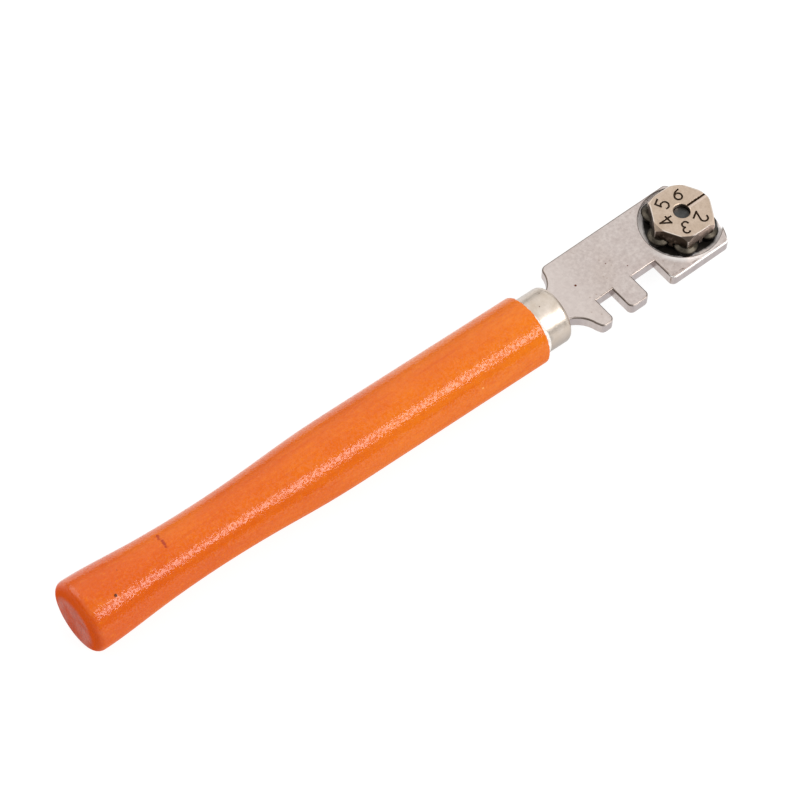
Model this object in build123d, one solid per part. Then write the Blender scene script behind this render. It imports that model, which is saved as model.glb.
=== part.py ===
from build123d import *
import os
from math import atan2, cos, degrees, hypot, radians, sin

# Six-wheel turret glass cutter with a turned wooden handle.
# Units are millimetres. The origin is the centre of the flat butt face, +X runs along
# the handle towards the head, and +Z points out of the numbered face of the turret.
# Head parts are drawn in the head's own frame, whose origin is the turret axis at the
# mid-plane of the plate, and are then set on the handle by HEAD.

# Handle
HANDLE_LENGTH = 90.4
BUTT_RADIUS = 6.33
BUTT_ROUND = 1.4
HANDLE_STATIONS = [(12.0, 5.72), (25.0, 5.28), (36.0, 5.55), (46.0, 6.07)]
BELLY_START = 54.0
BELLY_RADIUS = 6.19
FRONT_RADIUS = 6.13
FRONT_ROUND = 0.37
TENON_RADIUS = 4.5

# Ferrule
FERRULE_GAP = 0.1
FERRULE_LENGTH = 5.6
FERRULE_RADIUS = 5.08
FERRULE_WALL = 0.5
FERRULE_SHOULDER = 1.0
FERRULE_LIP = 0.3

# Head plate
AXIS_AHEAD = 33.35          # turret axis ahead of the handle's front face
HEAD_SKEW = 1.55            # degrees: the tang sits a little askew, as it was driven in
PLATE = 2.33
TOP_EDGE = 7.38
TOOTH_END = -7.87
NOTCH_FLOOR = -3.15
NARROW_NOTCH = 3.5
WIDE_NOTCH = 5.03
MIDDLE_TOOTH = 4.13
HEAD_BLOCK_BACK = -8.47
FRONT_NOSE = (5.75, 0.2)
FRONT_CORNER_TOP = 2.9
FRONT_CORNER_LOW = 3.75
BACK_CORNER_TOP = -24.3
BACK_CORNER_LOW = -23.55
UPPER_HOLLOW = (-25.45, 4.3)        # the curve from the neck up to the plate's back edge
UPPER_HOLLOW_END = (-24.45, 6.3)
LOWER_HOLLOW = (-25.4, -4.35)
LOWER_HOLLOW_END = (-24.15, -6.6)
TANG_LENGTH = 24.0
TANG_HALF_WIDTH = 2.2
NECK_HALF_WIDTH = 3.0
EDGE_ROUND = 0.36
CORNER_ROUND = 1.0
BACK_CORNER_ROUND = 1.2
FIT = 0.05                  # clearance between pieces that are pushed together

# Turret
HEX_ACROSS_FLATS = 10.1
CAP_THICKNESS = 3.4
CAP_RISE = 3.24             # top of the cap above the plate
CORNER_CIRCLE = 5.2         # radius where the corner chamfer meets the top face
CORNER_DROP = 0.95          # how far down the chamfer reaches at a corner
POCKET_RADIUS = 7.08
POCKET_DEPTH = 1.1
TURRET_PLAY = 0.03          # between the turret's flange and the pocket's floor
FLANGE_RADIUS = 4.9
LOBE_INSET = 0.35           # a lobe of the flange stays this far inside its wheel
HUB_RADIUS = 2.3
SCREW_HOLE = 1.42
HOLE_CHAMFER = 0.13
NUMERAL_DEPTH = 0.14
NUMERAL_STROKE = 0.33
NUMERAL_HEIGHT = 2.25
NUMERAL_RADIUS = 3.38       # from the turret axis to the middle of a numeral
INDEX_GROOVE = 0.88         # the mark at wheel 1, with one steep wall and one shallow wall
INDEX_DEPTH = 0.28
INDEX_STEEP = 0.12

# Cutting wheels and axles
WHEELS = 6
WHEEL_PITCH = 4.65
WHEEL_RADIUS = 2.1
WHEEL_WEAR = {1: 0.35, 2: 0.2}     # the wheels used most are this much smaller
WHEEL_BEVEL = 0.7
WHEEL_THICKNESS = 1.1
WHEEL_PLAY = 0.04
SLOT_HEIGHT = 0.98          # how far a wheel's slot reaches up into the cap
SLOT_MARGIN = 0.1
AXLE_RADIUS = 0.6
AXLE_PLAY = 0.05
AXLE_IN_CAP = 1.2
AXLE_HOLE_SPARE = 0.1       # the axle's hole is this much deeper than the axle
PRESSED = 0.01

# Turret screw and washer
SCREW_RADIUS = 1.33
SCREW_RECESS = 0.95
SCREW_HEAD_RADIUS = 2.4
SCREW_HEAD = 1.3
SCREW_SLOT = 0.6
WASHER_RADIUS = 2.6
WASHER = 0.5
WASHER_GAP = 0.35
WASHER_GAP_ANGLE = 20

# Places in the head's frame
NECK_BACK = FERRULE_GAP + FERRULE_LENGTH - AXIS_AHEAD
PLATE_TOP = PLATE / 2
CAP_TOP = PLATE_TOP + CAP_RISE
CAP_BOTTOM = CAP_TOP - CAP_THICKNESS
SLOT_TOP = CAP_BOTTOM + SLOT_HEIGHT
WHEEL_TOP = SLOT_TOP - WHEEL_PLAY
AXLE_TOP = SLOT_TOP + AXLE_IN_CAP
WHEEL_BOTTOM = WHEEL_TOP - WHEEL_THICKNESS
FLANGE_TOP = WHEEL_BOTTOM - WHEEL_PLAY
POCKET_FLOOR = PLATE_TOP - POCKET_DEPTH
FLANGE_BOTTOM = POCKET_FLOOR + TURRET_PLAY
WASHER_TOP = -PLATE / 2 - PRESSED
WASHER_BOTTOM = WASHER_TOP - WASHER
SCREW_SEAT = WASHER_BOTTOM - PRESSED

HEAD = Pos(HANDLE_LENGTH, 0, 0) * Rot(0, 0, HEAD_SKEW) * Pos(AXIS_AHEAD, 0, 0)


def wheel_angle(number):
    """Direction of a cutting wheel from the turret axis; wheel 1 points forward."""
    return -360 / WHEELS * (number - 1)


def wheel_place(number):
    angle = radians(wheel_angle(number))
    return Pos(WHEEL_PITCH * cos(angle), WHEEL_PITCH * sin(angle), 0)


def wheel_radius(number):
    return WHEEL_RADIUS - WHEEL_WEAR.get(number, 0)


def disc(radius, bottom, top):
    return Pos(0, 0, bottom) * extrude(Circle(radius), top - bottom)


def tang_slot():
    """The slot that the tang is driven into, open at the ferrule's front face."""
    front = NECK_BACK + TENON_RADIUS
    back = -AXIS_AHEAD - TANG_LENGTH - FIT
    slot = Box(front - back, 2 * (NECK_HALF_WIDTH + FIT), PLATE + 2 * FIT)
    return HEAD * Pos((front + back) / 2, 0, 0) * slot


def handle():
    butt_edge = (0, BUTT_RADIUS - BUTT_ROUND)
    butt_side = (BUTT_ROUND, BUTT_RADIUS)
    belly = (BELLY_START, BELLY_RADIUS)
    front_side = (HANDLE_LENGTH - FRONT_ROUND, FRONT_RADIUS)
    front_edge = (HANDLE_LENGTH, FRONT_RADIUS - FRONT_ROUND)
    tenon_end = HANDLE_LENGTH + FERRULE_GAP + FERRULE_LENGTH - FERRULE_WALL - FIT
    with BuildPart() as part:
        with BuildSketch():
            with BuildLine():
                Line((0, 0), butt_edge)
                RadiusArc(butt_edge, butt_side, BUTT_ROUND)
                Spline(butt_side, *HANDLE_STATIONS, belly, tangents=[(1, 0), (1, 0)])
                Line(belly, front_side)
                RadiusArc(front_side, front_edge, FRONT_ROUND)
                Polyline(
                    front_edge,
                    (HANDLE_LENGTH, TENON_RADIUS),
                    (tenon_end, TENON_RADIUS),
                    (tenon_end, 0),
                    (0, 0),
                )
            make_face()
        revolve(axis=Axis.X)
    return part.part - tang_slot()


def ferrule():
    back = HANDLE_LENGTH + FERRULE_GAP
    front = back + FERRULE_LENGTH
    bore = FERRULE_RADIUS - FERRULE_WALL
    with BuildPart() as part:
        with BuildSketch():
            with BuildLine():
                Polyline(
                    (front, 0),
                    (front, FERRULE_RADIUS),
                    (back, FERRULE_RADIUS),
                    (back, bore),
                    (front - FERRULE_WALL, bore),
                    (front - FERRULE_WALL, 0),
                    (front, 0),
                )
            make_face()
            fillet(vertices().group_by(Axis.Y)[-1].sort_by(Axis.X)[-1], FERRULE_SHOULDER)
            fillet(vertices().group_by(Axis.Y)[-1].sort_by(Axis.X)[0], FERRULE_LIP)
        revolve(axis=Axis.X)
    return part.part - tang_slot()


def plate_outline():
    wide_back = HEAD_BLOCK_BACK - WIDE_NOTCH
    tooth_back = wide_back - MIDDLE_TOOTH
    narrow_back = tooth_back - NARROW_NOTCH
    tang_end = -AXIS_AHEAD - TANG_LENGTH
    upper_neck = (NECK_BACK, NECK_HALF_WIDTH)
    lower_neck = (NECK_BACK, -NECK_HALF_WIDTH)
    top_front = (FRONT_CORNER_TOP, TOP_EDGE)
    low_front = (FRONT_CORNER_LOW, TOOTH_END)
    with BuildSketch() as sketch:
        with BuildLine():
            Polyline(lower_neck, (tang_end, -TANG_HALF_WIDTH), (tang_end, TANG_HALF_WIDTH), upper_neck)
            ThreePointArc(upper_neck, UPPER_HOLLOW, UPPER_HOLLOW_END)
            Polyline(UPPER_HOLLOW_END, (BACK_CORNER_TOP, TOP_EDGE), top_front)
            ThreePointArc(top_front, FRONT_NOSE, low_front)
            Polyline(
                low_front,
                (HEAD_BLOCK_BACK, TOOTH_END),
                (HEAD_BLOCK_BACK, NOTCH_FLOOR),
                (wide_back, NOTCH_FLOOR),
                (wide_back, TOOTH_END),
                (tooth_back, TOOTH_END),
                (tooth_back, NOTCH_FLOOR),
                (narrow_back, NOTCH_FLOOR),
                (narrow_back, TOOTH_END),
                (BACK_CORNER_LOW, TOOTH_END),
                LOWER_HOLLOW_END,
            )
            ThreePointArc(LOWER_HOLLOW_END, LOWER_HOLLOW, lower_neck)
        make_face()
        low = vertices().group_by(Axis.Y)[0]
        high = vertices().group_by(Axis.Y)[-1].sort_by(Axis.X)
        fillet(low + high[-1:], CORNER_ROUND)
        fillet(vertices().group_by(Axis.Y)[-1].sort_by(Axis.X)[:1], BACK_CORNER_ROUND)
    return sketch.sketch


def head_plate():
    plate = Pos(0, 0, -PLATE / 2) * extrude(plate_outline(), PLATE)
    rims = plate.faces().filter_by(Axis.Z).edges()
    plate = fillet(rims.filter_by(lambda e: e.center().X > NECK_BACK), EDGE_ROUND)
    plate -= disc(POCKET_RADIUS, POCKET_FLOOR, PLATE)
    plate -= disc(SCREW_HOLE, -PLATE, PLATE)
    return HEAD * plate


def bar(start, end):
    """A straight groove of the numeral stroke's width. Its ends are in half-heights of a numeral."""
    x0, y0, x1, y1 = [NUMERAL_HEIGHT / 2 * value for value in (*start, *end)]
    length = hypot(x1 - x0, y1 - y0) + NUMERAL_STROKE
    place = Pos((x0 + x1) / 2, (y0 + y1) / 2, 0) * Rot(0, 0, degrees(atan2(y1 - y0, x1 - x0)))
    return place * Box(length, NUMERAL_STROKE, 2 * NUMERAL_DEPTH)


def arc(centre, radius, start, end):
    """A round groove from one angle clockwise to another, in degrees and half-heights of a numeral."""
    x, y, r = [NUMERAL_HEIGHT / 2 * value for value in (*centre, radius)]
    section = Plane.XZ * Pos(r, 0) * Rectangle(NUMERAL_STROKE, 2 * NUMERAL_DEPTH)
    return Pos(x, y, 0) * Rot(0, 0, end) * revolve(section, Axis.Z, start - end)


def numeral_strokes():
    """The strokes of each numeral, centred on the origin and upright along +Y."""
    return {
        2: [
            arc((0, 0.42), 0.58, 165, -35),
            bar((0.47, 0.09), (-0.6, -1)),
            bar((-0.6, -1), (0.6, -1)),
        ],
        3: [
            arc((0, 0.5), 0.5, 165, -90),
            arc((0, -0.5), 0.5, 90, -165),
        ],
        4: [
            bar((0.27, -1), (0.27, 1)),
            bar((0.27, 1), (-0.66, -0.37)),
            bar((-0.66, -0.37), (0.66, -0.37)),
        ],
        5: [
            bar((0.53, 1), (-0.4, 1)),
            bar((-0.4, 1), (-0.48, 0.08)),
            arc((-0.03, -0.37), 0.62, 135, -145),
        ],
        6: [
            arc((0, -0.42), 0.57, 360, 0),
            arc((0.81, -0.42), 1.38, 180, 112),
        ],
    }


def numerals():
    cuts = []
    for number, strokes in numeral_strokes().items():
        place = Rot(0, 0, wheel_angle(number)) * Pos(NUMERAL_RADIUS, 0, CAP_TOP) * Rot(0, 0, -90)
        cuts += [place * cut for cut in strokes]
    return cuts


def index_groove():
    half = INDEX_GROOVE / 2
    above = INDEX_DEPTH
    profile = Polygon(
        (half, above),
        (half, 0),
        (half - INDEX_STEEP, -INDEX_DEPTH),
        (-half, 0),
        (-half, above),
        align=None,
    )
    return Pos(0, 0, CAP_TOP) * extrude(Plane.YZ * profile, HEX_ACROSS_FLATS, dir=(1, 0, 0))


def turret():
    apothem = HEX_ACROSS_FLATS / 2
    corner = apothem / cos(radians(30))
    cap = Pos(0, 0, CAP_BOTTOM) * extrude(RegularPolygon(corner, 6), CAP_THICKNESS)
    slope = (corner - CORNER_CIRCLE) / CORNER_DROP
    spread = CORNER_CIRCLE + slope * CAP_THICKNESS
    cap &= Pos(0, 0, CAP_BOTTOM + CAP_THICKNESS / 2) * Cone(spread, CORNER_CIRCLE, CAP_THICKNESS)
    slot = disc(WHEEL_RADIUS + SLOT_MARGIN, CAP_BOTTOM, SLOT_TOP)
    axle_hole = disc(AXLE_RADIUS + PRESSED, FLANGE_BOTTOM, AXLE_TOP + AXLE_HOLE_SPARE)
    flange = disc(FLANGE_RADIUS, FLANGE_BOTTOM, FLANGE_TOP)
    for number in range(1, WHEELS + 1):
        cap -= wheel_place(number) * slot
        lobe = disc(wheel_radius(number) - LOBE_INSET, FLANGE_BOTTOM, FLANGE_TOP)
        flange += wheel_place(number) * lobe
    body = cap - index_groove() + flange + disc(HUB_RADIUS, FLANGE_TOP, CAP_BOTTOM)
    for number in range(1, WHEELS + 1):
        body -= wheel_place(number) * axle_hole
    body -= disc(SCREW_HOLE, FLANGE_BOTTOM, CAP_TOP)
    chamfer = Cone(SCREW_HOLE, SCREW_HOLE + HOLE_CHAMFER, HOLE_CHAMFER)
    body -= Pos(0, 0, CAP_TOP - HOLE_CHAMFER / 2) * chamfer
    for cut in numerals():
        body -= cut
    return HEAD * body


def cutting_wheel(number):
    middle = (WHEEL_TOP + WHEEL_BOTTOM) / 2
    bore = AXLE_RADIUS + AXLE_PLAY
    half = WHEEL_THICKNESS / 2
    radius = wheel_radius(number)
    flat = radius - WHEEL_BEVEL
    with BuildPart() as part:
        with BuildSketch(Plane.XZ):
            with BuildLine():
                Polyline(
                    (bore, -half),
                    (flat, -half),
                    (radius, 0),
                    (flat, half),
                    (bore, half),
                    close=True,
                )
            make_face()
        revolve(axis=Axis.Z)
    return HEAD * wheel_place(number) * Pos(0, 0, middle) * part.part


def wheel_axle(number):
    return HEAD * wheel_place(number) * disc(AXLE_RADIUS, FLANGE_BOTTOM, AXLE_TOP)


def turret_screw():
    head_bottom = SCREW_SEAT - SCREW_HEAD
    shank = disc(SCREW_RADIUS, SCREW_SEAT - SCREW_HEAD / 3, CAP_TOP - SCREW_RECESS)
    head = disc(SCREW_HEAD_RADIUS, head_bottom, SCREW_SEAT)
    head = fillet(head.edges().group_by(Axis.Z)[0], SCREW_HEAD / 3)
    head -= Pos(0, 0, head_bottom) * Box(3 * SCREW_HEAD_RADIUS, SCREW_SLOT, SCREW_HEAD)
    return HEAD * (shank + head)


def spring_washer():
    washer = disc(WASHER_RADIUS, WASHER_BOTTOM, WASHER_TOP) - disc(SCREW_HOLE, WASHER_BOTTOM, WASHER_TOP)
    gap = Pos(WASHER_RADIUS, 0, WASHER_BOTTOM) * Box(2 * WASHER_RADIUS, WASHER_GAP, 3 * WASHER)
    return HEAD * (washer - Rot(0, 0, WASHER_GAP_ANGLE) * gap)


def build():
    nodes = {
        "handle": handle(),
        "ferrule": ferrule(),
        "head_plate": head_plate(),
        "turret": turret(),
        "turret_screw": turret_screw(),
        "spring_washer": spring_washer(),
    }
    for number in range(1, WHEELS + 1):
        nodes[f"cutting_wheel_{number}"] = cutting_wheel(number)
        nodes[f"wheel_axle_{number}"] = wheel_axle(number)
    return nodes


os.makedirs("parts", exist_ok=True)
for name, solid in build().items():
    export_step(solid, f"parts/{name}.step")
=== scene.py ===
"""Looks of the six-wheel glass cutter.

A lacquered wooden handle, a nickel ferrule and plate, and a champagne turret with steel wheels.
Sizes and places are in millimetres in the part's own frame. MM turns them into metres.
"""
import math

import bpy
import bmesh
from mathutils import Matrix, Vector


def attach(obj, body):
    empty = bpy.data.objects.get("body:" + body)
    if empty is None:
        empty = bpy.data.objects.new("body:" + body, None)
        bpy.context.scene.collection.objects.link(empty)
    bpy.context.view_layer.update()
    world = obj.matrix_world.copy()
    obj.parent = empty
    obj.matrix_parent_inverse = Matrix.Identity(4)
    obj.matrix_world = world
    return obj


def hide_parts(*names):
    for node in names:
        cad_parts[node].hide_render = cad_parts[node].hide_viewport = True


MM = 0.001

# Handle profile and neighbours: places along the tool (X) and radii out from its axis.
HANDLE_LENGTH = 90.4
BUTT_RADIUS = 6.33
BUTT_ROUND = 1.4
HANDLE_STATIONS = ((12.0, 5.72), (25.0, 5.28), (36.0, 5.55), (46.0, 6.07), (54.0, 6.19))
FRONT_RADIUS = 6.13
FRONT_ROUND = 0.37
TENON_RADIUS = 4.5
FERRULE_RADIUS = 5.08
TENON_END = 95.5

# How finely the handle's surface is divided: around, and along each stretch of its profile. The
# waist's curve settles in a number of rounds.
HANDLE_SEGMENTS = 192
CURVE_ROUNDS = 60
BUTT_FLAT_STEPS = 8
BUTT_ROUND_STEPS = 12
WAIST_STEPS = 90
BELLY_STEPS = 40
FRONT_ROUND_STEPS = 6

# A ring of bare wood between the lacquer and the ferrule: steps ahead of the handle and out from
# the ferrule, the direction in which it is widest, and the least share of it that shows elsewhere.
BARE_RING = ((0.0, 0.62), (0.45, 0.42), (0.85, 0.22), (1.0, 0.02), (0.1, 0.01))
BARE_RING_ANGLE = math.radians(70)
BARE_RING_LEAST = 0.3
TENON_STEP = 0.05
TOUCH = 0.01                # two places closer than this are the same place

# Turret axis, the turret's levels and sizes, and the plate's.
TURRET_X = 123.738
TURRET_Y = 0.902
CAP_TOP = 4.405
CAP_FLAT = 4.90             # from the axis to the worn rim of a flat side
CAP_CORNER = 5.79           # from the axis to the worn upright edge of a corner
SHADE_TOP = 2.1               # painted shade turns everything under the cap black below this
PLATE_TOP = 1.165
POCKET_RIM = 7.14           # from the turret's axis to the rounded rim of the pocket
FRONT_BLOCK_BACK = -8.6     # the block ahead of the wide notch, from the turret's axis
FRONT_BLOCK_EDGE = -7.5

# Marks, each with its place, its radius and the width of its soft edge.
BURN_SPECKS = (
    (5.72, -2.78, 5.43, 0.20, 0.16),
    (7.6, -4.4, 4.3, 0.05, 0.12),
    (8.4, 0.5, 6.0, 0.04, 0.08))
RED_SCRATCHES = (
    (17.43, 2.30, 5.08, 0.18, 0.24),
    (17.32, 1.92, 5.24, 0.18, 0.24),
    (17.22, 1.50, 5.37, 0.20, 0.26),
    (17.35, 0.82, 5.51, 0.18, 0.26),
    (17.28, 0.40, 5.56, 0.20, 0.26),
    (17.24, 0.02, 5.57, 0.18, 0.24),
    (17.22, -0.40, 5.56, 0.20, 0.24))
PALE_NICKS = (
    (56.9, 4.2, 4.6, 0.06, 0.12),
    (76.5, -5.6, 2.4, 0.10, 0.14))
BUTT_PATCH = (0, 0.3, -1.4, 3.6, 1.7)
FERRULE_DOTS = (
    (91.76, -3.22, 3.93, 0.05, 0.10),
    (92.51, -0.13, 5.08, 0.05, 0.10),
    (94.3, 2.1, 4.6, 0.04, 0.08))
FERRULE_SMUDGE = (91.36, -4.69, 1.96, 0.35, 0.55)
PLATE_RUST = (
    (101.75, 1.44, PLATE_TOP, 0.12, 0.16),
    (111.14, -0.61, PLATE_TOP, 0.05, 0.12),
    (108.49, 1.86, PLATE_TOP, 0.04, 0.12))

# Camera: a long lens looking down on the tool from behind the butt, on the side of the notches.
CAMERA_TARGET = (65.47, 1.58, 0.0)
CAMERA_DISTANCE = 699.8
CAMERA_ELEVATION = 57.1
CAMERA_AZIMUTH = 41.97
CAMERA_ROLL = 4.38
CAMERA_LENS = 195.87
SENSOR_WIDTH = 36.0

FLOOR_Z = -6.34
FLOOR_HALF_WIDTH = 6000.0
FLOOR_GLOW = 0.87           # the floor gives light of its own, so it stays nearly white

# The studio: its even light, and a dark band on the camera's side between two heights. Heights
# are sines of the elevation.
WORLD_LIGHT = 0.86
WORLD_DARK = 0.40
HORIZON = (0.10, 0.45)      # share of the light at the horizon, and the height where it is full
DARK_SIDE = (-0.62, -0.78, 0.0)
DARK_SIDE_FADE = (-0.1, 0.35)
DARK_BAND = (0.03, 0.12, 0.48, 0.60)
LIGHT_TARGET = (0.065, 0, 0)

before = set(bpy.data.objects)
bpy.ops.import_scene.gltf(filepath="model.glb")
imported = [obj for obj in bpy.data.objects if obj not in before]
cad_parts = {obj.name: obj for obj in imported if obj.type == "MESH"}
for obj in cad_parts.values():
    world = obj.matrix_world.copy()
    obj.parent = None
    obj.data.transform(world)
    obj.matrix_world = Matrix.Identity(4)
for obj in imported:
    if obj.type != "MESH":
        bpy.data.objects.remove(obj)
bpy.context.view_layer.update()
scene = bpy.context.scene


# ---------------------------------------------------------------- node helpers

class Tree:
    """Short ways to add nodes to a material or to the world."""

    def __init__(self, owner, shader):
        self.owner = owner
        owner.use_nodes = True
        self.nodes = owner.node_tree.nodes
        self.links = owner.node_tree.links
        self.shader = self.nodes[shader]
        coordinates = self.add("ShaderNodeTexCoord").outputs
        self.place = coordinates["Object"]
        self.normal = coordinates["Normal"]
        self.direction = coordinates["Generated"]

    def add(self, kind, inputs=None, **props):
        node = self.nodes.new(kind)
        for key, value in props.items():
            setattr(node, key, value)
        for key, value in (inputs or {}).items():
            self.put(node.inputs[key], value)
        return node

    def put(self, socket, value):
        if isinstance(value, bpy.types.NodeSocket):
            self.links.new(value, socket)
        else:
            socket.default_value = value

    def set(self, **inputs):
        for key, value in inputs.items():
            self.put(self.shader.inputs[key.replace("_", " ")], value)

    def scaled(self, scale, shift=(0, 0, 0), turn=(0, 0, 0)):
        """The place on the object, stretched per axis. Scale is in features per metre."""
        node = self.add("ShaderNodeMapping", {"Vector": self.place})
        node.inputs["Location"].default_value = shift
        node.inputs["Rotation"].default_value = turn
        node.inputs["Scale"].default_value = scale
        return node.outputs["Vector"]

    def from_turret_axis(self):
        """The place in millimetres from the turret's axis, and its distance out from that axis."""
        middle = self.scaled((1000, 1000, 1000), shift=(-TURRET_X, -TURRET_Y, 0))
        out = self.vector("LENGTH", self.vector("MULTIPLY", middle, (1, 1, 0), "Vector"))
        return middle, out

    def noise(self, vector, detail=3.0, roughness=0.5, distortion=0.0):
        node = self.add("ShaderNodeTexNoise", {
            "Vector": vector, "Scale": 1.0, "Detail": detail,
            "Roughness": roughness, "Distortion": distortion})
        return node.outputs["Fac"]

    def spots(self, vector):
        """The distance to the nearest of many scattered points, seen from above."""
        node = self.add("ShaderNodeTexVoronoi", {"Vector": vector, "Scale": 1.0}, voronoi_dimensions="2D")
        return node.outputs["Distance"]

    def span(self, value, low, high, to_low=0.0, to_high=1.0, smooth=False):
        """Maps low..high to to_low..to_high and stays there outside. Low may be above high."""
        node = self.add("ShaderNodeMapRange", {
            "Value": value, "From Min": low, "From Max": high,
            "To Min": to_low, "To Max": to_high})
        node.interpolation_type = "SMOOTHSTEP" if smooth else "LINEAR"
        return node.outputs["Result"]

    def band(self, value, start, full, full_end, end, smooth=False):
        """Rises from 0 at start to 1 at full, and falls again from full_end to end."""
        rise = self.span(value, start, full, smooth=smooth)
        fall = self.span(value, end, full_end, smooth=smooth)
        return self.all(rise, fall)

    def math(self, operation, a, b=0.0, clamp=False):
        node = self.add("ShaderNodeMath", operation=operation, use_clamp=clamp)
        self.put(node.inputs[0], a)
        self.put(node.inputs[1], b)
        return node.outputs[0]

    def all(self, *masks):
        """The product of masks and numbers."""
        total = masks[0]
        for mask in masks[1:]:
            total = self.math("MULTIPLY", total, mask)
        return total

    def any(self, *masks):
        """The strongest of some masks."""
        total = masks[0]
        for mask in masks[1:]:
            total = self.math("MAXIMUM", total, mask)
        return total

    def outside(self, mask):
        return self.math("SUBTRACT", 1.0, mask)

    def mix(self, share, a, b):
        """Goes from colour a to colour b as the share goes from 0 to 1."""
        node = self.add("ShaderNodeMix", data_type="RGBA", blend_type="MIX")
        self.put(node.inputs["Factor"], share)
        for socket, colour in ((node.inputs[6], a), (node.inputs[7], b)):
            self.put(socket, colour if isinstance(colour, bpy.types.NodeSocket) else (*colour, 1.0))
        return node.outputs[2]

    def axes(self, vector):
        return self.add("ShaderNodeSeparateXYZ", {"Vector": vector}).outputs

    def vector(self, operation, a, b=(0, 0, 0), output="Value"):
        node = self.add("ShaderNodeVectorMath", operation=operation)
        self.put(node.inputs[0], a)
        self.put(node.inputs[1], b)
        return node.outputs[output]

    def mark(self, x, y, z, radius, soft):
        """1 within a radius of a place and 0 beyond its soft edge."""
        away = self.vector("DISTANCE", self.place, (x * MM, y * MM, z * MM))
        return self.span(away, radius * MM, (radius + soft) * MM, 1.0, 0.0, smooth=True)

    def marks(self, places):
        return self.any(*[self.mark(*place) for place in places])

    def edges(self, radius):
        """Normals softened along the sharp edges."""
        return self.add("ShaderNodeBevel", {"Radius": radius * MM}, samples=4).outputs[0]

    def bump(self, height, distance, normal=None):
        """Normals of a rough surface, with its roughness over softer normals."""
        node = self.add("ShaderNodeBump", {"Height": height, "Distance": distance * MM, "Strength": 1.0})
        if normal:
            self.put(node.inputs["Normal"], normal)
        return node.outputs["Normal"]


def new_material(name):
    return Tree(bpy.data.materials.new(name), "Principled BSDF")


def show(name, material):
    """Gives a shown CAD node its material."""
    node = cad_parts[name]
    node.data.materials.clear()
    node.data.materials.append(material)


# ---------------------------------------------------------------- lacquered wood

def wood_colour(t, x):
    """Orange, redder at the butt and yellower at the front, with clouds, fibres and pores."""
    fibre = t.noise(t.scaled((45, 1100, 1100)), detail=5.0, roughness=0.65)
    pores = t.noise(t.scaled((900, 2200, 2200)), detail=4.0, roughness=0.7)
    cloud = t.noise(t.scaled((60, 150, 150)), detail=4.0, roughness=0.55)
    base = t.mix(t.span(x, 0.0, 0.036, smooth=True), (0.680, 0.108, 0.010), (0.730, 0.138, 0.010))
    base = t.mix(t.span(x, 0.036, 0.088), base, (0.750, 0.168, 0.010))
    base = t.mix(t.span(cloud, 0.48, 0.72, 0.0, 0.45), base, (0.62, 0.085, 0.003))
    base = t.mix(t.span(cloud, 0.50, 0.28, 0.0, 0.50), base, (0.790, 0.190, 0.004))
    base = t.mix(t.span(fibre, 0.50, 0.74, 0.0, 0.38), base, (0.58, 0.070, 0.003))
    base = t.mix(t.span(pores, 0.52, 0.72, 0.0, 0.45), base, (0.62, 0.082, 0.003))
    return t.mix(t.span(pores, 0.46, 0.30, 0.0, 0.35), base, (0.84, 0.230, 0.006))


def butt_colour(t, x, base, flat, patch):
    """Dusky end grain on the flat of the butt, and painted shade on the rounded edge round it."""
    grain_place = t.scaled((300, 900, 260), turn=(0.6, 0, 0))
    grain = t.noise(grain_place, detail=5.0, roughness=0.7, distortion=0.6)
    end = t.mix(t.span(grain, 0.40, 0.60), (0.43, 0.052, 0.014), (0.53, 0.074, 0.024))
    end = t.mix(t.span(patch, 0.45, 0.58, 0.0, 0.5), end, (0.56, 0.060, 0.008))
    # Painted shade: the rounded edge round the butt's flat is darker.
    edge = t.span(x, 1.2 * MM, 0.2 * MM, smooth=True)
    base = t.mix(t.all(edge, 0.65), base, (0.64, 0.066, 0.004))
    return t.mix(flat, base, end)


def marked_colour(t, base, wobble):
    """Burn specks, a run of red scratches and small pale nicks."""
    base = t.mix(t.all(t.marks(BURN_SPECKS), 0.9), base, (0.035, 0.008, 0.004))
    red = t.all(t.marks(RED_SCRATCHES), t.span(wobble, 0.35, 0.55, 0.2, 0.85))
    base = t.mix(red, base, (0.35, 0.024, 0.010))
    return t.mix(t.all(t.marks(PALE_NICKS), 0.7), base, (0.88, 0.48, 0.16))


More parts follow.
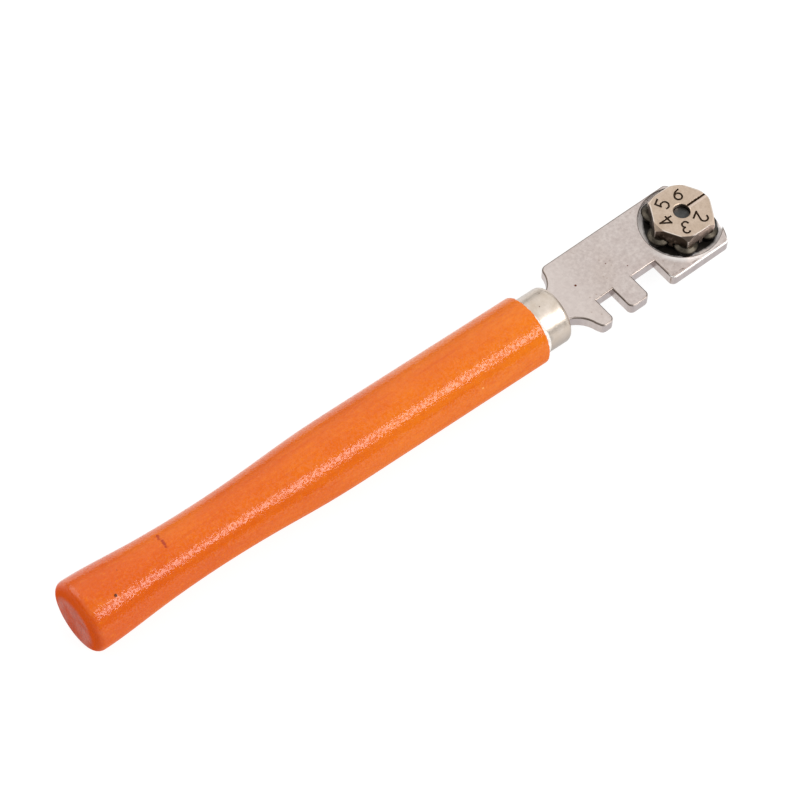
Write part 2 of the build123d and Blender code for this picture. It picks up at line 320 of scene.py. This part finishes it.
def lacquered_wood():
    """Orange lacquer over turned wood, with bare pale wood past the lacquer's ragged front end."""
    t = new_material("lacquered_wood")
    x = t.axes(t.place)[0]
    nx, _, nz = t.axes(t.normal)
    patch = t.noise(t.scaled((200, 230, 230), shift=(0, 3.3, 0)), detail=2.0)
    wobble = t.noise(t.scaled((2500, 2500, 2500)), detail=2.0)
    flat = t.all(t.span(x, 0.20 * MM, 0.05 * MM), t.mark(*BUTT_PATCH))
    bare = t.span(x, (HANDLE_LENGTH + 0.03) * MM, (HANDLE_LENGTH + 0.08) * MM)

    base = wood_colour(t, x)
    base = butt_colour(t, x, base, flat, patch)
    base = marked_colour(t, base, wobble)
    base = t.mix(bare, base, t.mix(t.span(wobble, 0.35, 0.6), (0.72, 0.68, 0.62), (0.92, 0.90, 0.87)))
    peel = t.noise(t.scaled((2600, 1900, 1900)), detail=2.0, roughness=0.6)
    base = t.mix(t.span(peel, 0.50, 0.36, 0.0, 0.10), base, (0.62, 0.090, 0.003))

    # The gloss is full above and weak underneath. The lacquer's grain breaks it up, most of all
    # along a line high on the -Y side. The butt has little, but for a polished patch on its flat.
    upper = t.vector("DOT_PRODUCT", t.normal, (0.0, -0.59, 0.81))
    grain_floor = t.span(upper, 0.80, 0.96, 0.70, 0.24)
    butt = t.span(t.all(nx, -1.0), 0.5, 1.0, 1.0, 0.1)
    gloss = t.all(t.outside(bare), t.span(nz, 0.0, 0.6, 0.25, 1.0), butt)
    gloss = t.all(gloss, t.span(peel, 0.44, 0.55, grain_floor, 1.0))
    polish = t.all(flat, t.span(patch, 0.35, 0.6, 0.50, 0.15))
    gloss = t.math("ADD", gloss, polish, clamp=True)

    wave = t.noise(t.scaled((160, 420, 420)), detail=2.0)
    skin = t.bump(peel, 0.06, normal=t.bump(wave, 0.05))
    t.set(Base_Color=base, Roughness=0.55, IOR=1.45, Specular_IOR_Level=0.0)
    t.set(Coat_Weight=gloss, Coat_Roughness=0.08, Coat_IOR=1.47)
    t.set(Coat_Normal=skin, Normal=skin)
    return t.owner


# ---------------------------------------------------------------- ferrule

def nickel_ferrule():
    """Thin nickel over drawn steel: warm, clouded, painted darker towards the underside and the +Y side
    as painted shade, with dark dots.
    """
    t = new_material("ferrule_nickel")
    _, ny, nz = t.axes(t.normal)
    cloud = t.noise(t.scaled((420, 420, 420)), detail=5.0, roughness=0.65)
    rings = t.noise(t.scaled((5200, 120, 120)), detail=3.0)
    fine = t.noise(t.scaled((2400, 1500, 1500)), detail=3.0, roughness=0.7)
    tone = t.mix(t.span(cloud, 0.35, 0.65), (0.74, 0.63, 0.52), (0.89, 0.79, 0.70))
    tone = t.mix(t.span(rings, 0.5, 0.8, 0.0, 0.30), tone, (0.70, 0.58, 0.47))
    tone = t.mix(t.span(fine, 0.45, 0.68, 0.0, 0.30), tone, (0.62, 0.53, 0.44))
    # Painted shade: darker where the surface faces down, and where it faces +Y.
    tone = t.mix(t.span(nz, 0.80, -0.15, 0.0, 0.95), tone, (0.36, 0.31, 0.27))
    tone = t.mix(t.span(ny, 0.42, 0.75, 0.0, 0.60), tone, (0.50, 0.46, 0.43))
    tone = t.mix(t.marks(FERRULE_DOTS), tone, (0.16, 0.08, 0.05))
    smudge = t.all(t.mark(*FERRULE_SMUDGE), t.span(cloud, 0.35, 0.6), 0.6)
    tone = t.mix(smudge, tone, (0.35, 0.33, 0.30))
    t.set(Base_Color=tone, Metallic=1.0, Roughness=t.span(cloud, 0.3, 0.7, 0.29, 0.41))
    t.set(Normal=t.bump(fine, 0.012, normal=t.bump(cloud, 0.02)))
    return t.owner


# ---------------------------------------------------------------- plate

def plate_colour(t, x, cloud, speck):
    """Mottled nickel, paler at the neck, with a few brown specks."""
    tint = t.noise(t.scaled((110, 110, 110), shift=(7, 1, 4)), detail=2.0)
    tone = t.mix(t.span(cloud, 0.35, 0.65), (0.700, 0.602, 0.562), (0.750, 0.668, 0.628))
    tone = t.mix(t.span(tint, 0.42, 0.62, 0.0, 0.5), tone, (0.70, 0.595, 0.535))
    tone = t.mix(t.span(speck, 0.42, 0.70, 0.0, 0.55), tone, (0.47, 0.39, 0.36))
    tone = t.mix(t.span(speck, 0.45, 0.25, 0.0, 0.50), tone, (0.84, 0.77, 0.73))
    tone = t.mix(t.span(x, -18.0, -24.0, 0.0, 0.45), tone, (0.84, 0.75, 0.70))
    specks = t.all(t.span(t.spots(t.scaled((430, 430, 430))), 0.09, 0.04), t.span(tint, 0.46, 0.54))
    return t.mix(t.all(specks, 0.32), tone, (0.34, 0.22, 0.15))


def plate_edges(t, tone, front, cloud):
    """Streaked walls with painted shade, darkest where they face -Y, and a dark line along the rounded
    edges.
    """
    nx, ny, nz = t.axes(t.normal)
    streaks = t.noise(t.scaled((900, 900, 160)), detail=3.0)
    # Painted shade: the upright walls are darker than the top, and darker still where they face -Y. The
    # streaks are their own.
    streaked_wall_shade = t.mix(t.span(streaks, 0.35, 0.65), (0.44, 0.38, 0.36), (0.56, 0.50, 0.48))
    upright = t.span(nz, 0.45, 0.20)
    tone = t.mix(t.all(upright, 0.85), tone, streaked_wall_shade)
    tone = t.mix(t.all(t.span(ny, -0.5, -0.9), upright, 0.5), tone, (0.34, 0.30, 0.31))
    # Darker in a line along the rounded edges, and along the rounded edges that face the butt.
    line = t.all(t.band(nz, 0.62, 0.78, 0.93, 0.985), t.span(front, 0.0, 1.0, 1.0, 0.25))
    back = t.all(t.span(nx, -0.25, -0.45), t.band(nz, 0.15, 0.35, 0.85, 0.97))
    dark_edge_line = t.any(t.all(line, 0.75), t.all(back, 0.9))
    return t.mix(t.all(dark_edge_line, t.span(cloud, 0.3, 0.55, 0.6, 1.0)), tone, (0.085, 0.058, 0.038))


def pocket_colour(t, tone, out, pocket, cloud):
    """A thin dark rim of painted shade, a dull floor painted pale as painted light, and a black painted
    shadow under the turret.
    """
    wander = t.span(cloud, 0.3, 0.7, -0.35, 0.35)
    # Painted shadow: black on the pocket's floor under the turret.
    under_turret_shadow = t.all(pocket, t.span(t.math("ADD", out, wander), 6.45, 6.05))
    # Painted shade: a thin dark line round the pocket's rim.
    rim = t.band(out, POCKET_RIM - 0.24, POCKET_RIM - 0.12, POCKET_RIM, POCKET_RIM + 0.06)
    tone = t.mix(t.all(rim, 0.8), tone, (0.10, 0.07, 0.05))
    # Painted light: the pocket's floor is painted paler than the plate.
    tone = t.mix(pocket, tone, (0.97, 0.90, 0.86))
    return t.mix(under_turret_shadow, tone, (0.010, 0.008, 0.006))


def nickel_plate():
    """Satin nickel over cast steel: mottled, with dark lines along the edges, painted shade and light in
    the pocket, and painted highlights.
    """
    t = new_material("plate_nickel")
    middle, out = t.from_turret_axis()
    x, y, z = t.axes(middle)
    nz = t.axes(t.normal)[2]
    cloud = t.noise(t.scaled((150, 150, 150)), detail=5.0, roughness=0.6)
    speck = t.noise(t.scaled((1500, 1500, 1500)), detail=4.0, roughness=0.75)
    front = t.all(t.span(x, FRONT_BLOCK_BACK - 0.3, FRONT_BLOCK_BACK),
                  t.span(y, FRONT_BLOCK_EDGE + 0.9, FRONT_BLOCK_EDGE + 0.3))
    sunk = t.span(z, PLATE_TOP - 0.20, PLATE_TOP - 0.30)
    pocket = t.all(sunk, t.span(out, POCKET_RIM + 0.06, POCKET_RIM - 0.04))
    tone = plate_colour(t, x, cloud, speck)
    tone = plate_edges(t, tone, front, cloud)
    tone = pocket_colour(t, tone, out, pocket, cloud)

    # A broken brown burr and a painted highlight along the front block's edge,
    # and a painted highlight on the pocket's rim towards the butt.
    chips = t.noise(t.scaled((520, 900, 500)), detail=3.0, roughness=0.7)
    burr = t.band(y, FRONT_BLOCK_EDGE - 0.12, FRONT_BLOCK_EDGE,
                  FRONT_BLOCK_EDGE + 0.15, FRONT_BLOCK_EDGE + 0.3)
    burr = t.all(burr, front, t.span(chips, 0.42, 0.56, 0.0, 0.75))
    tone = t.mix(burr, tone, (0.20, 0.125, 0.085))
    lower = t.math("ADD", nz, t.span(x, -5.0, -3.0, 0.14, 0.0))
    edge = t.all(t.span(lower, 0.985, 0.95), t.span(nz, 0.30, 0.45))
    edge_highlight = t.all(edge, front, t.span(chips, 0.36, 0.46))
    to_butt = t.math("ADD", t.all(x, -0.5), t.all(y, -0.87))
    lip_highlight = t.band(out, POCKET_RIM, POCKET_RIM + 0.12, 7.4, 8.3)
    lip_highlight = t.all(lip_highlight, t.span(nz, 0.9, 0.99), t.span(to_butt, 4.0, 7.0))
    painted_highlight = t.any(t.all(edge_highlight, 0.95), t.all(lip_highlight, 0.75))
    tone = t.mix(painted_highlight, tone, (0.97, 0.93, 0.90))

    tone = t.mix(t.marks(PLATE_RUST), tone, (0.14, 0.035, 0.012))
    scratch = t.noise(t.scaled((240, 3200, 240), turn=(0, 0, 0.9)), detail=3.0, distortion=0.4)
    t.set(Base_Color=tone, Metallic=t.span(t.any(pocket, painted_highlight), 0.0, 1.0, 1.0, 0.15))
    t.set(Roughness=t.span(cloud, 0.3, 0.7, 0.30, 0.38))
    t.set(Normal=t.bump(speck, 0.018, normal=t.bump(scratch, 0.006)))
    return t.owner


# ---------------------------------------------------------------- turret

def turret_sides(t, z, cloud):
    """Darker towards the butt, partly stain and partly painted shade; painted half dark, half bright
    ahead as a painted reflection.
    """
    nx = t.axes(t.normal)[0]
    # Painted shade on the sides that face the butt, with stains from the cloud on top.
    to_butt = t.span(nx, 0.0, -0.5, 0.0, 0.85)
    stain_and_shade = t.math("ADD", to_butt, t.span(cloud, 0.45, 0.62, 0.0, 0.6), clamp=True)
    side = t.mix(stain_and_shade, (0.62, 0.50, 0.43), (0.060, 0.042, 0.028))
    level = t.math("ADD", z, t.span(cloud, 0.3, 0.7, -0.6, 0.6))
    # Painted reflection: dark below a wandering height and bright above it, on the sides that face ahead.
    ahead = t.mix(t.span(level, 2.7, 2.2), (0.17, 0.135, 0.115), (0.80, 0.68, 0.62))
    return t.mix(t.span(nx, 0.3, 0.5), side, ahead)


def worn_edge_highlights(t, middle, out, z):
    """The cap's rim along its six flats, and its six upright edges, worn bright with a painted highlight.
    """
    reach = []
    for turn in (30, 90, 150):
        flat = (math.cos(math.radians(turn)), math.sin(math.radians(turn)), 0)
        reach.append(t.math("ABSOLUTE", t.vector("DOT_PRODUCT", middle, flat)))
    rim = t.all(t.span(t.any(*reach), CAP_FLAT - 0.04, CAP_FLAT + 0.04),
                t.span(z, CAP_TOP - 0.12, CAP_TOP - 0.04))
    upright = t.all(t.span(out, CAP_CORNER - 0.07, CAP_CORNER), t.span(z, 1.2, 1.4))
    return t.any(rim, upright)


def nickel_turret():
    """Champagne nickel, stained and painted with shade and reflections down the sides, painted black as
    shade below, and brown in the numerals.
    """
    t = new_material("turret_nickel")
    middle, out = t.from_turret_axis()
    x, y, z = t.axes(middle)
    _, ny, nz = t.axes(t.normal)
    cloud = t.noise(t.scaled((420, 420, 420)), detail=5.0, roughness=0.6)
    speck = t.noise(t.scaled((2600, 2600, 2600)), detail=4.0, roughness=0.75)
    tone = t.mix(t.span(cloud, 0.35, 0.65), (0.66, 0.515, 0.395), (0.74, 0.595, 0.475))
    tone = t.mix(t.span(speck, 0.42, 0.68, 0.0, 0.45), tone, (0.46, 0.34, 0.25))

    # The sides, the corner towards the notches painted dark as a painted reflection, and edges worn
    # bright with a painted highlight.
    groove = t.all(t.span(x, 0.5, 1.0), t.span(t.math("ABSOLUTE", y), 0.62, 0.52),
                   t.span(z, CAP_TOP - 0.4, CAP_TOP - 0.3))
    flank = t.all(t.span(nz, 0.5, 0.3), t.outside(groove))
    tone = t.mix(flank, tone, turret_sides(t, z, cloud))
    # Painted reflection: the chamfer at the corner towards the notches is dark.
    corner = t.all(t.band(nz, 0.35, 0.45, 0.82, 0.90), t.span(out, 3.0, 4.0),
                   t.span(y, -3.0, -4.0), t.span(x, 0.0, -1.0))
    tone = t.mix(t.all(corner, 0.85), tone, (0.11, 0.085, 0.070))
    # Painted highlight and wear: the cap's edges are brighter.
    tone = t.mix(t.all(worn_edge_highlights(t, middle, out, z), 0.7), tone, (0.97, 0.88, 0.80))

    # The numerals, and the index groove: dark on its steep side and lit on its shallow side.
    engraved = t.all(t.band(z, CAP_TOP - 0.3, CAP_TOP - 0.2, CAP_TOP - 0.03, CAP_TOP - 0.015),
                     t.band(out, 1.65, 1.75, 4.75, 4.85), t.outside(groove))
    shaded = t.all(groove, t.any(t.span(z, CAP_TOP - 0.18, CAP_TOP - 0.22), t.span(ny, -0.5, -0.7)))
    tone = t.mix(t.any(engraved, shaded), tone, (0.045, 0.027, 0.016))
    # Painted shade: black under the cap and low on the turret.
    under_cap_shade = t.all(t.span(z, SHADE_TOP, SHADE_TOP - 0.1), t.span(out, 5.0, 4.9))
    under_cap_shade = t.any(under_cap_shade, t.span(z, 1.0, 0.95))
    tone = t.mix(under_cap_shade, tone, (0.012, 0.010, 0.008))
    lit = t.all(groove, t.span(ny, 0.15, 0.25), t.outside(shaded), 0.6)
    tone = t.mix(lit, tone, (0.86, 0.70, 0.60))

    t.set(Base_Color=tone, Metallic=t.span(lit, 0.0, 1.0, 1.0, 0.2))
    t.set(Roughness=t.span(cloud, 0.3, 0.7, 0.30, 0.42))
    t.set(Normal=t.bump(speck, 0.012, normal=t.edges(0.09)))
    return t.owner


# ---------------------------------------------------------------- steel

def steel(name, dark, light, roughness, scale, shade_below=None):
    """Bare hardened steel with a mottled film of oil, and painted shade that makes it black below a
    height.
    """
    t = new_material(name)
    cloud = t.noise(t.scaled((scale, scale, scale)), detail=5.0, roughness=0.6)
    fine = t.noise(t.scaled((3500, 3500, 3500)), detail=3.0, roughness=0.6)
    tone = t.mix(t.span(cloud, 0.35, 0.65), dark, light)
    tone = t.mix(t.span(fine, 0.45, 0.65, 0.0, 0.5), tone, dark)
    if shade_below is not None:
        z = t.axes(t.place)[2]
        # Painted shade: black below the given height.
        lower_shade = t.span(z, (shade_below + 0.16) * MM, shade_below * MM)
        tone = t.mix(lower_shade, tone, (0.010, 0.008, 0.006))
    t.set(Base_Color=tone, Metallic=1.0)
    t.set(Roughness=t.span(cloud, 0.3, 0.7, roughness - 0.06, roughness + 0.08))
    t.set(Normal=t.bump(fine, 0.006, normal=t.edges(0.05)))
    return t.owner


# ---------------------------------------------------------------- handle

def revolve(name, profile, segments, material):
    """A closed surface of revolution about the X axis. The profile runs from axis to axis."""
    bm = bmesh.new()
    rings = []
    for x, r in profile:
        if r == 0:
            rings.append([bm.verts.new((x * MM, 0, 0))])
            continue
        ring = []
        for step in range(segments):
            angle = 2 * math.pi * step / segments
            ring.append(bm.verts.new((x * MM, r * math.cos(angle) * MM, r * math.sin(angle) * MM)))
        rings.append(ring)
    for a, b in zip(rings, rings[1:]):
        for step in range(segments):
            after = (step + 1) % segments
            if len(a) == 1:
                bm.faces.new((a[0], b[after], b[step]))
            elif len(b) == 1:
                bm.faces.new((a[step], a[after], b[0]))
            else:
                bm.faces.new((a[step], a[after], b[after], b[step]))
    bmesh.ops.recalc_face_normals(bm, faces=bm.faces)
    mesh = bpy.data.meshes.new(name)
    bm.to_mesh(mesh)
    bm.free()
    mesh.polygons.foreach_set("use_smooth", [True] * len(mesh.polygons))
    mesh.materials.append(material)
    piece = bpy.data.objects.new(name, mesh)
    scene.collection.objects.link(piece)
    return piece


def spline(points, x):
    """A smooth curve through points (clamped cubic, flat at both ends), read at x."""
    xs = [p[0] for p in points]
    ys = [p[1] for p in points]
    n = len(points)
    slopes = [0.0] * n
    for _ in range(CURVE_ROUNDS):
        for i in range(1, n - 1):
            h0 = xs[i] - xs[i - 1]
            h1 = xs[i + 1] - xs[i]
            pull = 3 * ((ys[i] - ys[i - 1]) / h0 ** 2 + (ys[i + 1] - ys[i]) / h1 ** 2)
            slopes[i] = (pull - slopes[i - 1] / h0 - slopes[i + 1] / h1) / (2 / h0 + 2 / h1)
    i = max(k for k in range(n - 1) if xs[k] <= x)
    h = xs[i + 1] - xs[i]
    u = (x - xs[i]) / h
    return (ys[i] * (1 + 2 * u) * (1 - u) ** 2 + ys[i + 1] * u * u * (3 - 2 * u)
            + h * u * (1 - u) * (slopes[i] * (1 - u) - slopes[i + 1] * u))


def handle_profile():
    """The handle's outline from the middle of the butt to the middle of the tenon's end."""
    points = [(0.0, 0.0)]
    flat = BUTT_RADIUS - BUTT_ROUND
    points += [(0.0, flat * k / BUTT_FLAT_STEPS) for k in range(1, BUTT_FLAT_STEPS)]
    for k in range(BUTT_ROUND_STEPS + 1):
        angle = math.radians(90 * k / BUTT_ROUND_STEPS)
        points.append((BUTT_ROUND * (1 - math.cos(angle)), flat + BUTT_ROUND * math.sin(angle)))
    curve = ((BUTT_ROUND, BUTT_RADIUS), *HANDLE_STATIONS)
    belly_x, belly_radius = HANDLE_STATIONS[-1]
    for k in range(1, WAIST_STEPS + 1):
        x = BUTT_ROUND + (belly_x - BUTT_ROUND) * k / WAIST_STEPS
        points.append((x, spline(curve, x)))
    end = HANDLE_LENGTH - FRONT_ROUND
    for k in range(1, BELLY_STEPS + 1):
        along = (end - belly_x) * k / BELLY_STEPS
        taper = (FRONT_RADIUS - belly_radius) * k / BELLY_STEPS
        points.append((belly_x + along, belly_radius + taper))
    for k in range(1, FRONT_ROUND_STEPS + 1):
        angle = math.radians(90 * k / FRONT_ROUND_STEPS)
        drop = FRONT_ROUND * (1 - math.cos(angle))
        points.append((end + FRONT_ROUND * math.sin(angle), FRONT_RADIUS - drop))
    points += [(HANDLE_LENGTH + along, FERRULE_RADIUS + out) for along, out in BARE_RING]
    points += [(HANDLE_LENGTH + TENON_STEP, TENON_RADIUS), (TENON_END, TENON_RADIUS), (TENON_END, 0.0)]
    return points


def ragged_front(piece):
    """Chips the front edge of the lacquer, and leaves the bare ring showing mostly on one side."""
    for vertex in piece.data.vertices:
        x, y, z = vertex.co / MM
        radius = math.hypot(y, z)
        if x < HANDLE_LENGTH - FRONT_ROUND or radius < FERRULE_RADIUS - TOUCH:
            continue
        out = radius
        angle = math.atan2(-y, z)
        if x > HANDLE_LENGTH + TOUCH:
            share = max(BARE_RING_LEAST, math.cos(angle - BARE_RING_ANGLE)) ** 2.5
            out = FERRULE_RADIUS + (out - FERRULE_RADIUS) * share
            x = HANDLE_LENGTH + (x - HANDLE_LENGTH) * (0.3 + 0.7 * share)
        else:
            x += 0.05 * math.sin(11 * angle) * math.sin(4 * angle + 1) + 0.03 * math.sin(37 * angle)
        scale = out / radius
        vertex.co = Vector((x, y * scale, z * scale)) * MM


# ---------------------------------------------------------------- pieces

wood = lacquered_wood()
handle = revolve("wood_handle", handle_profile(), HANDLE_SEGMENTS, wood)
ragged_front(handle)
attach(handle, "tool")
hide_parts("handle")

wheel_metal = steel("wheel_steel", dark=(0.035, 0.029, 0.022), light=(0.125, 0.108, 0.084),
                    roughness=0.40, scale=900, shade_below=1.44)
screw_metal = steel("screw_steel", dark=(0.07, 0.07, 0.068), light=(0.13, 0.13, 0.128),
                    roughness=0.38, scale=700)

show("ferrule", nickel_ferrule())
show("head_plate", nickel_plate())
show("turret", nickel_turret())
show("turret_screw", screw_metal)
show("spring_washer", screw_metal)
for number in range(1, 7):
    show(f"cutting_wheel_{number}", wheel_metal)
    show(f"wheel_axle_{number}", screw_metal)


# ---------------------------------------------------------------- floor, light and camera

def floor():
    """A plain floor, a little uneven in tone."""
    t = new_material("floor_white")
    soft = t.noise(t.scaled((3, 3, 3)), detail=1.0)
    grey = t.mix(t.span(soft, 0.3, 0.7), (0.16, 0.16, 0.16), (0.18, 0.18, 0.18))
    t.set(Base_Color=grey, Roughness=0.8)
    t.set(Emission_Color=(1.0, 1.0, 1.0, 1.0), Emission_Strength=FLOOR_GLOW)
    half = FLOOR_HALF_WIDTH * MM
    z = FLOOR_Z * MM
    corners = [(-half, -half, z), (half, -half, z), (half, half, z), (-half, half, z)]
    mesh = bpy.data.meshes.new("floor")
    mesh.from_pydata(corners, [], [(0, 1, 2, 3)])
    mesh.materials.append(t.owner)
    plane = bpy.data.objects.new("floor", mesh)
    scene.collection.objects.link(plane)


def place(item, across, up, back, at):
    """Puts a lamp or the camera somewhere, with its own X, Y and Z axes along three directions."""
    item.matrix_world = Matrix((
        (across.x, up.x, back.x, at.x),
        (across.y, up.y, back.y, at.y),
        (across.z, up.z, back.z, at.z),
        (0, 0, 0, 1)))


def softbox(name, direction, distance, width, height, power):
    """A rectangular lamp that faces the middle of the tool, its width along it. Sizes in metres."""
    towards = Vector(direction).normalized()
    data = bpy.data.lights.new(name, "AREA")
    data.shape = "RECTANGLE"
    data.size = width
    data.size_y = height
    data.energy = power
    lamp = bpy.data.objects.new(name, data)
    across = Vector((1, 0, 0)) - towards * towards.x
    across.normalize()
    place(lamp, across, towards.cross(across), towards, Vector(LIGHT_TARGET) + towards * distance)
    scene.collection.objects.link(lamp)


def studio():
    """A white studio: a dark band low on the camera's side, a long soft box over it, and a fill light."""
    world = bpy.data.worlds.new("studio")
    scene.world = world
    t = Tree(world, "Background")
    height = t.axes(t.direction)[2]
    side = t.vector("DOT_PRODUCT", t.direction, Vector(DARK_SIDE).normalized())
    shade = t.all(t.band(height, *DARK_BAND, smooth=True), t.span(side, *DARK_SIDE_FADE, smooth=True))
    strength = t.span(shade, 0.0, 1.0, WORLD_LIGHT, WORLD_DARK)
    horizon = t.span(height, 0.0, HORIZON[1], HORIZON[0], 1.0)
    t.set(Color=(1, 1, 1, 1), Strength=t.all(strength, horizon))
    softbox("key_light", (0.363, -0.686, 0.632), distance=0.9, width=0.7, height=0.33, power=4.4)
    softbox("fill_light", (-0.35, 0.72, 0.60), distance=1.1, width=0.8, height=0.8, power=3.4)


def camera():
    elevation = math.radians(CAMERA_ELEVATION)
    azimuth = math.radians(CAMERA_AZIMUTH)
    roll = math.radians(CAMERA_ROLL)
    ahead = Vector((
        math.sin(azimuth) * math.cos(elevation),
        math.cos(azimuth) * math.cos(elevation),
        -math.sin(elevation)))
    level = Vector((math.cos(azimuth), -math.sin(azimuth), 0))
    lift = level.cross(ahead)
    right = level * math.cos(roll) + lift * math.sin(roll)
    data = bpy.data.cameras.new("camera")
    data.lens = CAMERA_LENS
    data.sensor_width = SENSOR_WIDTH
    data.clip_start = 0.01
    data.clip_end = 20.0
    eye = bpy.data.objects.new("camera", data)
    scene.collection.objects.link(eye)
    at = (Vector(CAMERA_TARGET) - ahead * CAMERA_DISTANCE) * MM
    place(eye, right, right.cross(ahead), -ahead, at)
    scene.camera = eye


floor()
studio()
camera()
scene.view_settings.view_transform = "Standard"
